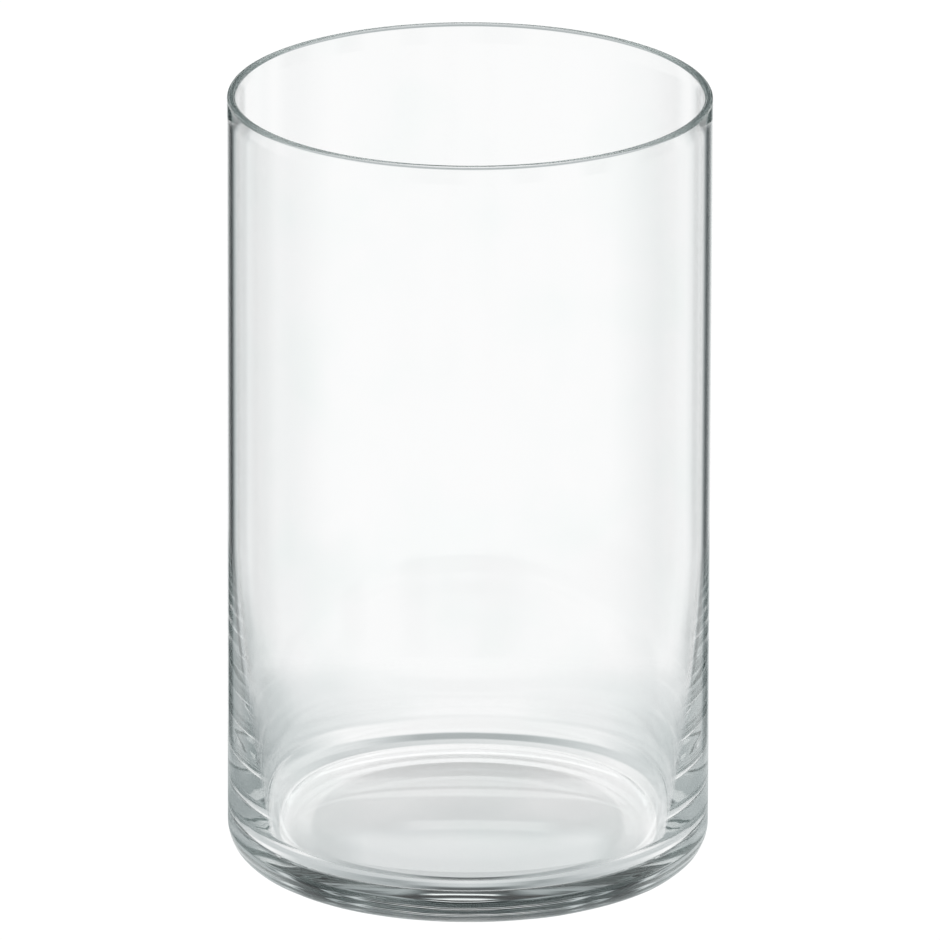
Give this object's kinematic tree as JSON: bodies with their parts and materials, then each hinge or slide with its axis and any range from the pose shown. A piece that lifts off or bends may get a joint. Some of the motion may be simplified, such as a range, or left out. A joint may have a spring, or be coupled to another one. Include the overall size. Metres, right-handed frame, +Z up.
{
  "type": "glass cylinder vase",
  "caption": "Clear glass cylinder vase with a fire-polished rim, a thin straight wall that thickens gently lower down, and a heavy base with a rounded heel.",
  "frame": {"origin": "centre of the foot, on the surface that the vase stands on", "axes": "+Z up along the axis of the cylinder, from the foot to the rim; X and Y are alike, because the vase is round"},
  "size_m": [0.121, 0.121, 0.2],
  "materials": {
    "clear_glass": "clear polished soda-lime glass, very faint green-grey tint"
  },
  "bodies": {
    "root": {"vase_body": "clear_glass"}
  },
  "joints": []
}
